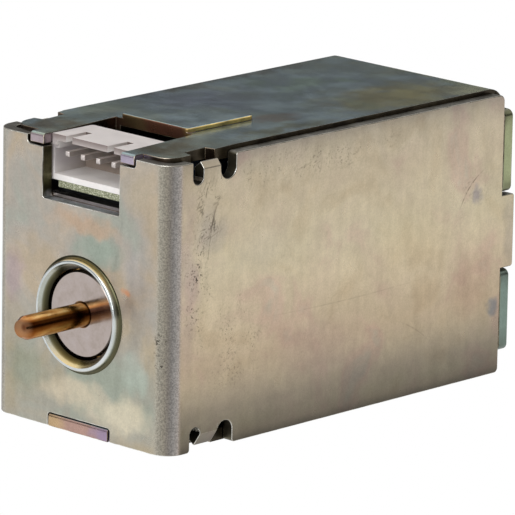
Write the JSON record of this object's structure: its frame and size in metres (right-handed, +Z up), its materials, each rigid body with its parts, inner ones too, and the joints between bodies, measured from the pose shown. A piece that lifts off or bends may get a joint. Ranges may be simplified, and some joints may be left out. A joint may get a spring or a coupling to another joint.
{
  "type": "trip coil",
  "caption": "Boxed push-type trip solenoid with a brass rod in a drawn front collar and a shrouded header at the top edge.",
  "frame": {"origin": "on the underside of the bottom plate, midway across the box and midway between the front plate's outer face and the back plate's outer face", "axes": "+X across the box, +Y from the front plate to the back plate, +Z up to the header; the push rod points to -Y"},
  "size_m": [0.0288, 0.0682, 0.0353],
  "materials": {
    "zinc_chromate_steel": "zinc plated, yellow chromate",
    "turned_steel": "turned, plated",
    "spring_steel": "oiled",
    "brass": "drawn",
    "rubber": "moulded",
    "bobbin_nylon": "moulded, glass filled",
    "copper_wire": "enamelled copper",
    "polyester_film": "film",
    "tinned_pin": "tin plated",
    "board_laminate": "glass epoxy, cut edges",
    "white_nylon": "moulded",
    "component_black": "moulded epoxy",
    "component_blue": "dipped epoxy",
    "component_grey": "moulded box",
    "component_tan": "ceramic"
  },
  "bodies": {
    "body": {"casing": "zinc_chromate_steel", "frame": "zinc_chromate_steel", "front_pole_plate": "turned_steel", "fixed_core": "turned_steel", "guide_sleeve": "brass", "core_shim": "brass", "return_spring": "spring_steel", "rear_bumper": "rubber", "rear_pole_ring": "turned_steel", "spring_washer": "spring_steel", "bobbin": "bobbin_nylon", "winding": "copper_wire", "winding_tape": "polyester_film", "coil_terminals": "tinned_pin", "coil_leads": "copper_wire", "insulating_sheet": "polyester_film", "circuit_board": "board_laminate", "connector_housing": "white_nylon", "connector_pins": "tinned_pin", "bridge_rectifier": "component_black", "surge_varistor": "component_blue", "storage_capacitor": "component_grey", "power_transistor": "component_black", "control_chip": "component_black", "clamp_diodes": "component_black", "chip_resistors": "component_black", "chip_capacitors": "component_tan"},
    "armature": {"plunger": "turned_steel", "push_rod": "brass"}
  },
  "joints": [
    {"name": "plunger_stroke", "type": "slide", "parent": "body", "child": "armature", "axis": [0, -1, 0], "range_m": [0, 0.0045], "stiffness_N_per_m": 250, "springref_m": -0.006, "deforming": ["return_spring"]}
  ]
}
